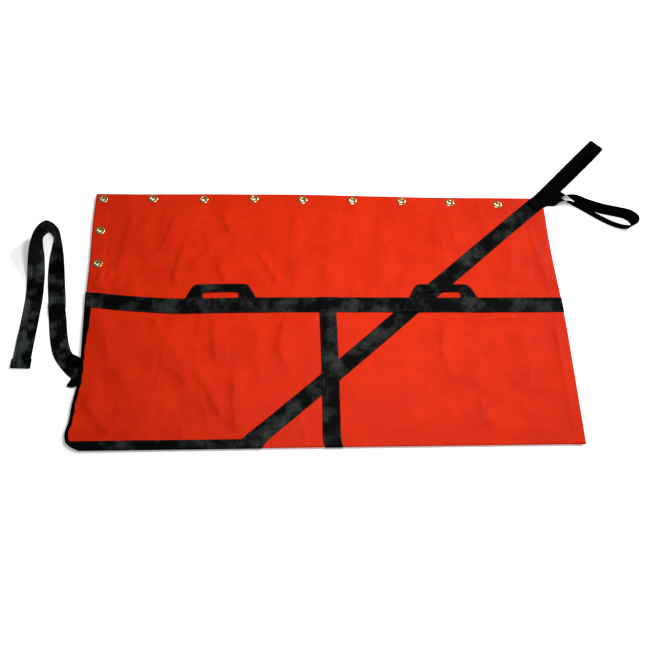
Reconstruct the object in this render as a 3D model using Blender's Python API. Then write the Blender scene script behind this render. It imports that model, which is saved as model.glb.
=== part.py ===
"""Rescue stretcher: a heavy cloth sheet with sewn webbing, folded in half along its centre line.

Metres, +Z up. The sheet lies flat: +X runs from the head end to the foot end, and +Y from the
fold to the open edges. The origin is the middle of the lower long strap's underside.
Heights in the stack of layers are counted from the middle plane between the two halves, and the
lower half is the upper half mirrored in that plane.
"""
import math

import bmesh
import bpy
from mathutils import Vector

# Driving dimensions
SHEET_LENGTH = 1.420
HALF_WIDTH = 0.825
WEB_WIDTH = 0.050
WEB_THICK = 0.0014
CLOTH_THICK = 0.0010
GAP = 0.0003

# Plan layout
LONG_STRAP_FROM_FOLD = 0.435
HEAD_X = -SHEET_LENGTH / 2
FOOT_X = SHEET_LENGTH / 2
FOLD_Y = -LONG_STRAP_FROM_FOLD
EDGE_Y = FOLD_Y + HALF_WIDTH
HINGE_Y = WEB_WIDTH / 2 + 0.068
HEM_WIDTH = 0.045
HALF_GAP = GAP / 2

# Layers of one half: the lowest height of each, from the middle plane
CLOTH_LOW = 0.0015
CLOTH_HIGH = CLOTH_LOW + CLOTH_THICK
DIAGONAL_LOW = CLOTH_HIGH + GAP
CROSS_LOW = DIAGONAL_LOW + WEB_THICK + GAP
LONG_LOW = CROSS_LOW + WEB_THICK + GAP
STACK_HIGH = LONG_LOW + WEB_THICK
MIDDLE_Z = STACK_HIGH
UPPER = 1
LOWER = -1
HALVES = {"upper": UPPER, "lower": LOWER}

# Diagonal strap: from a third of the length on the fold to the foot corner
DIAGONAL_START_X = HEAD_X + SHEET_LENGTH / 3
DIAGONAL_ANGLE = math.atan2(HALF_WIDTH, FOOT_X - DIAGONAL_START_X)
DIAGONAL_HALF_CUT = WEB_WIDTH / 2 / math.sin(DIAGONAL_ANGLE)
DIAGONAL_PAST_CORNER = 0.005

# Binding of the head edge
BINDING_THICK = 0.0010
BINDING_COVER = 0.020
BINDING_INNER_LOW = 0.0002

# Eyelets
EYELET_HOLE_R = 0.00635
EYELET_BARREL_R = 0.0072
EYELET_FLANGE_R = 0.0140
EYELET_WASHER_R = 0.0130
EYELET_WASHER_LOW = 0.0004
EYELET_WASHER_HIGH = 0.0012
EYELET_TOP = 0.0039
EYELET_ROUND = 0.0004
CLOTH_HOLE_R = 0.0076
EYELET_SIDES = 16
EDGE_EYELETS = 9
END_EYELETS = 2
EYELET_PITCH = 0.156
END_EYELET_PITCH = 0.116
EYELET_FROM_EDGE = 0.019
EYELET_FROM_END = 0.023

# Carry handles: a grip over a finger slot, with two sewn ends under the long strap
HANDLE_X = {"head": -0.316, "foot": 0.350}
HANDLE_BASE = 0.209
HANDLE_TOP = 0.150
HANDLE_HEIGHT = 0.045
HANDLE_SLOT = 0.105
HANDLE_SLOT_HEIGHT = 0.018
HANDLE_THICK = 0.0030
HANDLE_LEG_FLARE = 0.032

# Corner loops
LOOP_ANGLE = math.radians(45.1)
LOOP_LENGTH = 0.314
LOOP_WIDTH = 0.048
LOOP_THICK = 0.0034
LOOP_LOW = 0.0026
LOOP_SLIT = 0.0005
LOOP_ROUND_STEPS = 4
LOWER_LOOP_THICK = 0.0014
LOWER_ROOT_THICK = 0.0026

RED_CLOTH = (0.72, 0.045, 0.008, 1.0)
BLACK_WEBBING = (0.012, 0.013, 0.014, 1.0)
BRASS = (0.62, 0.42, 0.14, 1.0)


def clear_scene():
    for old in list(bpy.data.objects):
        bpy.data.objects.remove(old)


def new_collection(name):
    collection = bpy.data.collections.new(name)
    bpy.context.scene.collection.children.link(collection)
    return collection


def finish_material(name, colour, roughness, metallic):
    material = bpy.data.materials.new(name)
    material.use_nodes = True
    shader = material.node_tree.nodes["Principled BSDF"]
    shader.inputs["Base Color"].default_value = colour
    shader.inputs["Roughness"].default_value = roughness
    shader.inputs["Metallic"].default_value = metallic
    return material


def cloth_material(name):
    return finish_material(name, RED_CLOTH, 0.75, 0.0)


def webbing_material(name):
    return finish_material(name, BLACK_WEBBING, 0.6, 0.0)


def brass_material(name):
    return finish_material(name, BRASS, 0.3, 1.0)


def add_object(name, data, material_maker):
    data.materials.append(material_maker(name))
    piece = bpy.data.objects.new(name, data)
    parts.objects.link(piece)
    return piece


def outline_curve(name, outlines, thickness):
    """A flat plate: the first outline is its edge and the others are holes through it."""
    curve = bpy.data.curves.new(name, "CURVE")
    curve.dimensions = "2D"
    curve.fill_mode = "BOTH"
    curve.extrude = thickness / 2
    for outline in outlines:
        spline = curve.splines.new("POLY")
        spline.points.add(len(outline) - 1)
        spline.use_cyclic_u = True
        for point, (x, y) in zip(spline.points, outline):
            point.co = (x, y, 0.0, 1.0)
    return curve


def layer_plate(name, side, outlines, low, thickness, material_maker):
    """A flat plate in one layer of the upper (+1) or the lower (-1) half."""
    plate = add_object(name, outline_curve(name, outlines, thickness), material_maker)
    plate.location.z = MIDDLE_Z + side * (low + thickness / 2)
    return plate


def web_band(name, route, width, thickness):
    """Webbing along (x, y, lift, lean) points: lean 90 lies flat and lean 0 stands on its edge.

    lift is the height of the webbing's lowest line, so the band always rests at that height.
    """
    curve = bpy.data.curves.new(name, "CURVE")
    curve.dimensions = "3D"
    curve.twist_mode = "Z_UP"
    curve.fill_mode = "FULL"
    curve.extrude = (width - thickness) / 2
    curve.bevel_depth = thickness / 2
    curve.bevel_resolution = 0
    curve.use_fill_caps = True
    spline = curve.splines.new("POLY")
    spline.points.add(len(route) - 1)
    for point, (x, y, lift, lean) in zip(spline.points, route):
        tilt = math.radians(lean)
        rise = curve.extrude * abs(math.cos(tilt)) + curve.bevel_depth
        point.co = (x, y, lift + rise, 1.0)
        point.tilt = tilt
    return add_object(name, curve, webbing_material)


def smooth_route(knots, steps):
    """Points of a smooth curve through the knots, steps to each span (Catmull-Rom)."""
    padded = [knots[0]] + list(knots) + [knots[-1]]
    route = []
    for k in range(1, len(padded) - 2):
        before, start, end, after = (Vector(padded[k + j]) for j in (-1, 0, 1, 2))
        for step in range(steps):
            t = step / steps
            point = 0.5 * (2 * start + (end - before) * t
                           + (2 * before - 5 * start + 4 * end - after) * t ** 2
                           + (3 * start - before - 3 * end + after) * t ** 3)
            route.append(tuple(point))
    route.append(tuple(knots[-1]))
    return route


def rectangle(x_low, x_high, y_low, y_high):
    return [(x_low, y_low), (x_high, y_low), (x_high, y_high), (x_low, y_high)]


def circle(centre, radius, sides):
    turn = 2 * math.pi / sides
    return [(centre[0] + radius * math.cos(k * turn), centre[1] + radius * math.sin(k * turn))
            for k in range(sides)]


def diagonal_x(y):
    """Where the diagonal's centre line crosses a given y."""
    return DIAGONAL_START_X + (y - FOLD_Y) / math.tan(DIAGONAL_ANGLE)


def edge_eyelet_centres():
    y = EDGE_Y - EYELET_FROM_EDGE
    return [(HEAD_X + EYELET_FROM_END + k * EYELET_PITCH, y) for k in range(EDGE_EYELETS)]


def end_eyelet_centres():
    x = HEAD_X + EYELET_FROM_END
    top = EDGE_Y - EYELET_FROM_EDGE
    return [(x, top - (k + 1) * END_EYELET_PITCH) for k in range(END_EYELETS)]


def make_sheet(half, side):
    """The cloth: the bed, the side flap and the two hemmed edges that hold the eyelets."""
    bed_low_x = HEAD_X + BINDING_THICK + GAP
    hem_y = EDGE_Y - HEM_WIDTH
    hem_x = HEAD_X + HEM_WIDTH
    flap_y = HINGE_Y + HALF_GAP
    layer_plate(half + "_bed_panel", side,
                [rectangle(bed_low_x, FOOT_X, FOLD_Y + HALF_GAP, HINGE_Y - HALF_GAP)],
                CLOTH_LOW, CLOTH_THICK, cloth_material)
    layer_plate(half + "_side_flap", side,
                [rectangle(hem_x + GAP, FOOT_X, flap_y, hem_y - GAP)],
                CLOTH_LOW, CLOTH_THICK, cloth_material)
    edge_holes = [circle(centre, CLOTH_HOLE_R, EYELET_SIDES) for centre in edge_eyelet_centres()]
    layer_plate(half + "_edge_hem", side,
                [rectangle(HEAD_X, FOOT_X, hem_y, EDGE_Y)] + edge_holes,
                CLOTH_LOW, CLOTH_THICK, cloth_material)
    end_holes = [circle(centre, CLOTH_HOLE_R, EYELET_SIDES) for centre in end_eyelet_centres()]
    layer_plate(half + "_end_hem", side,
                [rectangle(HEAD_X, hem_x, flap_y, hem_y - GAP)] + end_holes,
                CLOTH_LOW, CLOTH_THICK, cloth_material)


def make_long_strap(half, side):
    layer_plate(half + "_long_strap", side,
                [rectangle(HEAD_X, FOOT_X, -WEB_WIDTH / 2, WEB_WIDTH / 2)],
                LONG_LOW, WEB_THICK, webbing_material)


def make_cross_strap(half, side):
    layer_plate(half + "_cross_strap", side,
                [rectangle(-WEB_WIDTH / 2, WEB_WIDTH / 2, FOLD_Y + HALF_GAP, WEB_WIDTH / 2)],
                CROSS_LOW, WEB_THICK, webbing_material)


def diagonal_square_end():
    """The two corners of the diagonal's square end, just past the sheet's corner."""
    along = Vector((math.cos(DIAGONAL_ANGLE), math.sin(DIAGONAL_ANGLE)))
    across = Vector((-along.y, along.x)) * WEB_WIDTH / 2
    end = Vector((FOOT_X, EDGE_Y)) + along * DIAGONAL_PAST_CORNER
    return [tuple(end - across), tuple(end + across)]


def make_diagonal(half, side):
    """The bridle strap; the upper one is in two solids, because its flap turns back."""
    fold = FOLD_Y + HALF_GAP
    square_end = diagonal_square_end()
    start = [(diagonal_x(fold) - DIAGONAL_HALF_CUT, fold), (diagonal_x(fold) + DIAGONAL_HALF_CUT, fold)]
    if side == LOWER:
        layer_plate(half + "_diagonal_strap", side, [start + square_end],
                    DIAGONAL_LOW, WEB_THICK, webbing_material)
        return
    bed_end = HINGE_Y - HALF_GAP
    flap_start = HINGE_Y + HALF_GAP
    layer_plate(half + "_diagonal_bed", side,
                [start + [(diagonal_x(bed_end) + DIAGONAL_HALF_CUT, bed_end),
                          (diagonal_x(bed_end) - DIAGONAL_HALF_CUT, bed_end)]],
                DIAGONAL_LOW, WEB_THICK, webbing_material)
    layer_plate(half + "_diagonal_flap", side,
                [[(diagonal_x(flap_start) - DIAGONAL_HALF_CUT, flap_start),
                  (diagonal_x(flap_start) + DIAGONAL_HALF_CUT, flap_start)] + square_end],
                DIAGONAL_LOW, WEB_THICK, webbing_material)


def make_centre_strap(half, side):
    """Half the width of the strap along the fold, mitred against the diagonal."""
    low = FOLD_Y + HALF_GAP
    high = FOLD_Y + WEB_WIDTH / 2
    mitre = DIAGONAL_HALF_CUT + GAP / math.sin(DIAGONAL_ANGLE)
    layer_plate(half + "_centre_strap", side,
                [[(HEAD_X, low), (diagonal_x(low) - mitre, low),
                  (diagonal_x(high) - mitre, high), (HEAD_X, high)]],
                DIAGONAL_LOW, WEB_THICK, webbing_material)


def make_end_binding(half, side):
    """Tape folded round the head edge of the bed, from the centre strap to the long strap."""
    inner_high = CLOTH_LOW - GAP
    outer_high = DIAGONAL_LOW + BINDING_THICK
    cover = BINDING_COVER
    section = [(0, BINDING_INNER_LOW), (cover, BINDING_INNER_LOW), (cover, inner_high),
               (BINDING_THICK, inner_high), (BINDING_THICK, DIAGONAL_LOW),
               (cover, DIAGONAL_LOW), (cover, outer_high), (0, outer_high)]
    start = FOLD_Y + WEB_WIDTH / 2 + GAP
    end = WEB_WIDTH / 2
    name = half + "_end_binding"
    mirrored = [(x, side * z) for x, z in section]
    binding = add_object(name, outline_curve(name, [mirrored], end - start), webbing_material)
    binding.location = (HEAD_X, (start + end) / 2, MIDDLE_Z)
    binding.rotation_euler.x = math.radians(90)


def make_handle(half, side, end_name):
    """A carry handle: the swinging grip, and its two webbing ends sewn under the long strap."""
    x = HANDLE_X[end_name]
    base = WEB_WIDTH / 2 + GAP
    grip = base + HANDLE_SLOT_HEIGHT
    top = base + HANDLE_HEIGHT
    bevel = 0.008
    right = [(HANDLE_SLOT / 2, base), (HANDLE_BASE / 2, base),
             (HANDLE_TOP / 2 + bevel / 2, top - bevel), (HANDLE_TOP / 2 - bevel / 2, top)]
    slot_right = (HANDLE_SLOT / 2 - bevel / 2, grip)
    outline = [(x + px, py) for px, py in right]
    outline += [(x - px, py) for px, py in reversed(right)]
    outline += [(x - HANDLE_SLOT / 2, grip - bevel / 2), (x - slot_right[0], grip),
                (x + slot_right[0], grip), (x + HANDLE_SLOT / 2, grip - bevel / 2)]
    name = half + "_" + end_name + "_handle"
    layer_plate(name, side, [outline], CROSS_LOW, HANDLE_THICK, webbing_material)
    low = -WEB_WIDTH / 2 + GAP
    high = WEB_WIDTH / 2 - GAP
    for letter, way in (("a", -1), ("b", 1)):
        sewn = [(x + way * HANDLE_SLOT / 2, high), (x + way * HANDLE_BASE / 2, high),
                (x + way * (HANDLE_BASE / 2 + HANDLE_LEG_FLARE), low),
                (x + way * (HANDLE_SLOT / 2 + HANDLE_LEG_FLARE), low)]
        layer_plate(name + "_end_" + letter, side, [sewn], CROSS_LOW, WEB_THICK, webbing_material)


def turned_mesh(name, profile, sides):
    """A ring turned about Z from a closed profile of (radius, height) points."""
    mesh = bpy.data.meshes.new(name)
    outline = bmesh.new()
    points = [outline.verts.new((radius, 0.0, height)) for radius, height in profile]
    for k, point in enumerate(points):
        outline.edges.new((point, points[(k + 1) % len(points)]))
    bmesh.ops.spin(outline, geom=outline.verts[:] + outline.edges[:], cent=(0, 0, 0),
                   axis=(0, 0, 1), angle=2 * math.pi, steps=sides, use_merge=True)
    bmesh.ops.remove_doubles(outline, verts=outline.verts, dist=0.00001)
    bmesh.ops.recalc_face_normals(outline, faces=outline.faces)
    outline.to_mesh(mesh)
    outline.free()
    return mesh


def eyelet_profile():
    """Grommet and washer clinched together: flange outside the cloth, washer inside it."""
    return [(EYELET_FLANGE_R, DIAGONAL_LOW), (EYELET_BARREL_R, DIAGONAL_LOW),
            (EYELET_BARREL_R, EYELET_WASHER_HIGH), (EYELET_WASHER_R, EYELET_WASHER_HIGH),
            (EYELET_WASHER_R, EYELET_WASHER_LOW), (EYELET_HOLE_R, EYELET_WASHER_LOW),
            (EYELET_HOLE_R, EYELET_TOP - EYELET_ROUND), (EYELET_BARREL_R + 0.001, EYELET_TOP),
            (EYELET_FLANGE_R - 0.002, EYELET_TOP)]


def make_eyelets(half, side):
    names = [half + "_edge_eyelet_" + str(k + 1) for k in range(EDGE_EYELETS)]
    names += [half + "_end_eyelet_" + str(k + 1) for k in range(END_EYELETS)]
    for name, centre in zip(names, edge_eyelet_centres() + end_eyelet_centres()):
        eyelet = add_object(name, turned_mesh(name, eyelet_profile(), EYELET_SIDES), brass_material)
        eyelet.location = (centre[0], centre[1], MIDDLE_Z)
        if side == LOWER:
            eyelet.rotation_euler.x = math.pi


def make_upper_corner_loop():
    """Webbing doubled back on itself and lying flat, past the end of the upper diagonal."""
    half_thick = LOOP_THICK / 2
    centre_x = LOOP_LENGTH - half_thick
    turn = math.pi / LOOP_ROUND_STEPS
    arc = [-math.pi / 2 + k * turn for k in range(LOOP_ROUND_STEPS + 1)]
    outer = [(0.0, -half_thick)]
    outer += [(centre_x + half_thick * math.cos(a), half_thick * math.sin(a)) for a in arc]
    outer += [(0.0, half_thick)]
    half_slit = LOOP_SLIT / 2
    slit = [(0.020, -half_slit), (centre_x, -half_slit), (centre_x, half_slit), (0.020, half_slit)]
    name = "upper_corner_loop"
    loop = add_object(name, outline_curve(name, [outer, slit], LOOP_WIDTH), webbing_material)
    along = Vector((math.cos(DIAGONAL_ANGLE), math.sin(DIAGONAL_ANGLE), 0))
    spread = WEB_WIDTH / 2 * math.sin(LOOP_ANGLE - DIAGONAL_ANGLE)
    root = Vector((FOOT_X, EDGE_Y, MIDDLE_Z + LOOP_LOW + half_thick))
    loop.location = root + along * (DIAGONAL_PAST_CORNER + spread + GAP)
    loop.rotation_euler = (math.radians(90), 0, LOOP_ANGLE)


def closed_route(knots, steps):
    """Points of a smooth closed curve through the knots, steps to each span (Catmull-Rom)."""
    count = len(knots)
    route = []
    for k in range(count):
        before, start, end, after = (Vector(knots[(k + j) % count]) for j in (-1, 0, 1, 2))
        for step in range(steps):
            t = step / steps
            point = 0.5 * (2 * start + (end - before) * t
                           + (2 * before - 5 * start + 4 * end - after) * t ** 2
                           + (3 * start - before - 3 * end + after) * t ** 3)
            route.append((point.x, point.y))
    return route


def offset_route(route, distance):
    """A closed route moved sideways, each corner along its own mitre."""
    moved = []
    count = len(route)
    for k in range(count):
        before, here, after = (Vector(route[(k + j) % count]) for j in (-1, 0, 1))
        way_in = (here - before).normalized()
        way_out = (after - here).normalized()
        mitre = Vector((way_in.y + way_out.y, -way_in.x - way_out.x)).normalized()
        reach = distance / max(0.5, mitre.dot(Vector((way_in.y, -way_in.x))))
        moved.append((here.x + mitre.x * reach, here.y + mitre.y * reach))
    return moved


def make_lower_corner_loop():
    """A loop of webbing that stands on its edge, and its flat root sewn under the lower diagonal."""
    knots = [(0.066, 0.008), (0.076, 0.0145), (0.095, 0.008), (0.115, -0.008), (0.140, -0.028),
             (0.178, -0.0425), (0.220, -0.053), (0.262, -0.064), (0.282, -0.078), (0.287, -0.095),
             (0.274, -0.110), (0.248, -0.1135), (0.205, -0.100), (0.158, -0.075), (0.115, -0.040),
             (0.085, -0.010), (0.070, 0.0005)]
    route = closed_route([(FOOT_X + x, EDGE_Y + y) for x, y in knots], 2)
    half_thick = LOWER_LOOP_THICK / 2
    loop = add_object("lower_corner_loop", outline_curve("lower_corner_loop", [
        offset_route(route, half_thick), offset_route(route, -half_thick)], LOOP_WIDTH), webbing_material)
    loop.location.z = GAP + LOOP_WIDTH / 2
    root = [(-0.012, -0.036), (0.061, -0.008), (0.061, 0.024), (0.032, 0.026), (-0.020, -0.004)]
    plate = add_object("lower_corner_loop_root", outline_curve("lower_corner_loop_root", [
        [(FOOT_X + x, EDGE_Y + y) for x, y in root]], LOWER_ROOT_THICK), webbing_material)
    plate.location.z = GAP + LOWER_ROOT_THICK / 2


def drag_strap_knots():
    """Chosen by hand: from its seam on the centre strap, out under the head edge, up and back down."""
    rest = 0.0003
    return [(HEAD_X + 0.100, FOLD_Y + 0.012, rest, 90), (HEAD_X + 0.104, FOLD_Y + 0.060, rest, 90),
            (HEAD_X + 0.090, FOLD_Y + 0.115, rest, 90), (HEAD_X + 0.060, FOLD_Y + 0.168, rest, 90),
            (HEAD_X + 0.020, FOLD_Y + 0.213, rest, 90), (HEAD_X - 0.018, FOLD_Y + 0.250, rest, 90),
            (HEAD_X - 0.045, FOLD_Y + 0.288, rest, 90), (HEAD_X - 0.059, FOLD_Y + 0.335, rest, 90),
            (HEAD_X - 0.069, FOLD_Y + 0.395, rest, 90), (HEAD_X - 0.078, FOLD_Y + 0.460, rest, 90),
            (HEAD_X - 0.087, FOLD_Y + 0.525, rest, 88), (HEAD_X - 0.092, FOLD_Y + 0.590, rest, 70),
            (HEAD_X - 0.095, FOLD_Y + 0.640, rest, 46), (HEAD_X - 0.101, FOLD_Y + 0.675, rest, 28),
            (HEAD_X - 0.126, FOLD_Y + 0.697, rest, 16), (HEAD_X - 0.147, FOLD_Y + 0.677, rest, 12),
            (HEAD_X - 0.152, FOLD_Y + 0.640, rest, 32), (HEAD_X - 0.150, FOLD_Y + 0.590, rest, 62),
            (HEAD_X - 0.146, FOLD_Y + 0.525, rest, 85), (HEAD_X - 0.144, FOLD_Y + 0.460, rest, 90),
            (HEAD_X - 0.148, FOLD_Y + 0.370, rest, 90), (HEAD_X - 0.152, FOLD_Y + 0.300, rest, 90),
            (HEAD_X - 0.154, FOLD_Y + 0.242, rest, 90)]


def make_drag_strap():
    web_band("drag_strap", smooth_route(drag_strap_knots(), 3), WEB_WIDTH, WEB_THICK)
    end = drag_strap_knots()[-1]
    before = drag_strap_knots()[-2]
    heading = Vector((before[0] - end[0], before[1] - end[1])).normalized()
    hem_high = end[2] + WEB_THICK + GAP
    hem_end = (end[0] + heading.x * 0.028, end[1] + heading.y * 0.028)
    web_band("drag_strap_hem", [(end[0], end[1], hem_high, 90), (hem_end[0], hem_end[1], hem_high, 90)],
             WEB_WIDTH, WEB_THICK)


clear_scene()
parts = new_collection("rescue_stretcher")
for half, side in HALVES.items():
    make_sheet(half, side)
    make_long_strap(half, side)
    make_cross_strap(half, side)
    make_diagonal(half, side)
    make_centre_strap(half, side)
    make_end_binding(half, side)
    make_eyelets(half, side)
    for end_name in HANDLE_X:
        make_handle(half, side, end_name)
make_upper_corner_loop()
make_lower_corner_loop()
make_drag_strap()
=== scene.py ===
"""Looks of the rescue stretcher: coated canvas, sewn webbing, brass eyelets and thread.

Everything is in metres in the CAD frame: +X from the head end to the foot end, +Y from the fold
to the open edges. A place on the folded sheet is given by x, by m, the distance from the fold
(above zero on the upper half, below zero on the lower half), and by rise, the height above the
cloth's outer face.
"""
import math
import bmesh
import bpy
import numpy as np
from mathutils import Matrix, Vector


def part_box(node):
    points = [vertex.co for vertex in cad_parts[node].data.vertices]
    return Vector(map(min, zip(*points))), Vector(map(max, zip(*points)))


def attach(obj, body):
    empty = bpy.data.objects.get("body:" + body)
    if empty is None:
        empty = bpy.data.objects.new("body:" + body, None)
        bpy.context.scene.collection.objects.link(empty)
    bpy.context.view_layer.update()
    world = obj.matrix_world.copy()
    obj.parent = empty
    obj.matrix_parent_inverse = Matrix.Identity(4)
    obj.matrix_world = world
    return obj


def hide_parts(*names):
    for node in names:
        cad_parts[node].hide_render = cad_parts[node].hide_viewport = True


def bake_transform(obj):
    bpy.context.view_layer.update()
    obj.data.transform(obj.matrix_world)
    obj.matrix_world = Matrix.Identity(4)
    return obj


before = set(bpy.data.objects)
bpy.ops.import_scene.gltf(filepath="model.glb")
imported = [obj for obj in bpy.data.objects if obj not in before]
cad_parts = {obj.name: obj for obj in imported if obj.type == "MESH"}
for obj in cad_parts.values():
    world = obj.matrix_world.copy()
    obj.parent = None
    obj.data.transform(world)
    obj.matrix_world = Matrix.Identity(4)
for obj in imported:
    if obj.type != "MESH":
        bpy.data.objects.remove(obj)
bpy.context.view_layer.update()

MM = 0.001

# Stock that the stretcher is sewn from, and the air between two layers of it
WEB_WIDTH = 50 * MM
WEB_THICK = 1.4 * MM
CLOTH_THICK = 0.9 * MM
HEM_THICK = 0.7 * MM
CLEAR = 0.3 * MM

# Places from the CAD. The long straps run along Y = 0, and the side flaps turn back at HINGE_Y.
strap_low, strap_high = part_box("upper_long_strap")
cloth_low, cloth_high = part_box("upper_edge_hem")
HEAD_X, FOOT_X = strap_low[0], strap_high[0]
EDGE_Y = cloth_high[1]
FOLD_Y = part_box("upper_centre_strap")[0][1] - CLEAR / 2
MIDDLE_Z = (cloth_low[2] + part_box("lower_edge_hem")[1][2]) / 2
CLOTH_FACE = cloth_high[2] - MIDDLE_Z
HALF_WIDTH = EDGE_Y - FOLD_Y
SIDES = (("upper", 1), ("lower", -1))

# The cloth turns round the fold on a half circle that leaves this much more cloth than a square one
FOLD_ARC = CLOTH_FACE * math.pi / 2
FOLD_SLACK = FOLD_ARC - CLOTH_FACE

# The diagonal bridle strap
DIAGONAL_START_X = HEAD_X + (FOOT_X - HEAD_X) / 3
DIAGONAL_ANGLE = math.atan2(HALF_WIDTH, FOOT_X - DIAGONAL_START_X)
DIAGONAL_CUT = WEB_WIDTH / 2 / math.sin(DIAGONAL_ANGLE)

# Carry handles: the middle of each along X, and the lengths of its finger slot and of its base
HANDLES = {"head": -0.316, "foot": 0.350}
HANDLE_SLOT = 0.105
HANDLE_BASE = 0.209

# Eyelets: their place from the cloth's edges, and small slips of the hand punch, sideways and up
EYELET_PITCH = 0.156
EYELET_INSET = 0.019
EYELET_HOLE = 9.5 * MM
# the cloth is flat this far from an eyelet's middle, and free of it this much further out
EYELET_FLAT, EYELET_FADE = 15 * MM, 14 * MM
EYELET_SLIPS = [(0.001, -0.001), (-0.002, 0.002), (-0.001, -0.001), (0.0, 0.003), (-0.003, -0.001),
                (-0.001, 0.0), (0.0, 0.002), (0.0, 0.0), (-0.001, -0.006)]
EYELETS = {}
for k, (slip_x, slip_y) in enumerate(EYELET_SLIPS):
    EYELETS["edge_eyelet_" + str(k + 1)] = (HEAD_X + 0.023 + k * EYELET_PITCH + slip_x,
                                            EDGE_Y - EYELET_INSET + slip_y)
for k, down in enumerate((0.115, 0.232)):
    EYELETS["end_eyelet_" + str(k + 1)] = (HEAD_X + 0.025, EDGE_Y - EYELET_INSET - down)


# ---------------------------------------------------------------- shape of the laid-out sheet

def ease(t):
    """0 to 1, slow at both ends."""
    t = np.clip(t, 0.0, 1.0)
    return t * t * (3 - 2 * t)


def smooth_values(knots, at):
    """A smooth line through (place, value) knots, read at many places."""
    places = np.array([k[0] for k in knots], float)
    values = np.array([k[1] for k in knots], float)
    at = np.clip(np.asarray(at, float), places[0], places[-1])
    k = np.clip(np.searchsorted(places, at, side="right") - 1, 0, len(places) - 2)
    slopes = np.gradient(values, places)
    gap = places[k + 1] - places[k]
    t = (at - places[k]) / gap
    return ((2 * t ** 3 - 3 * t ** 2 + 1) * values[k] + (t ** 3 - 2 * t ** 2 + t) * gap * slopes[k]
            + (-2 * t ** 3 + 3 * t ** 2) * values[k + 1] + (t ** 3 - t ** 2) * gap * slopes[k + 1])


# How far each edge of the laid-out sheet wanders from the cutting line, by place along it
HEAD_EDGE = [(-0.435, 0.032), (-0.429, 0.017), (-0.417, -0.001), (-0.403, -0.008), (-0.385, -0.009),
             (-0.358, -0.003), (-0.305, 0.001), (-0.24, 0.010), (-0.16, 0.011), (-0.08, 0.008),
             (0.0, 0.005), (0.15, 0.005), (0.25, 0.002), (0.39, 0.003)]
FOOT_EDGE = [(-0.435, -0.002), (-0.2, 0.002), (0.0, 0.004), (0.16, -0.001), (0.39, 0.002)]
OPEN_EDGE = [(-0.71, 0.003), (-0.51, 0.004), (-0.29, 0.007), (0.03, 0.007), (0.15, 0.005), (0.30, 0.002),
             (0.48, 0.002), (0.71, 0.002)]
STRAP_BOW = [(-0.71, 0.020), (-0.675, 0.018), (-0.63, 0.012), (-0.56, 0.005), (-0.45, -0.002),
             (-0.40, -0.002), (-0.30, 0.0), (0.30, 0.002), (0.50, 0.002), (0.71, 0.003)]
STRAP_BOW_REACH = 0.16


def y_at(m):
    """The flat sheet's Y at a distance m from the fold, on either half."""
    return FOLD_Y + np.maximum(np.abs(m) - FOLD_SLACK, 0)


def m_at(y):
    """The distance from the fold along the cloth at a place Y of the flat sheet."""
    return y - FOLD_Y + FOLD_SLACK


def wander(x, y):
    """Shift in plan of a point of the sheet, so that its edges and straps lie as a laid sheet does."""
    across = np.clip((x - HEAD_X) / (FOOT_X - HEAD_X), 0, 1)
    up = np.clip((y - FOLD_Y) / HALF_WIDTH, 0, 1)
    shift_x = smooth_values(HEAD_EDGE, y) * (1 - across) ** 3 + smooth_values(FOOT_EDGE, y) * across ** 3
    shift_y = smooth_values(OPEN_EDGE, x) * up ** 4
    near_strap = ease(1 - np.abs(y) / STRAP_BOW_REACH)
    return shift_x, shift_y + smooth_values(STRAP_BOW, x) * near_strap


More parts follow.
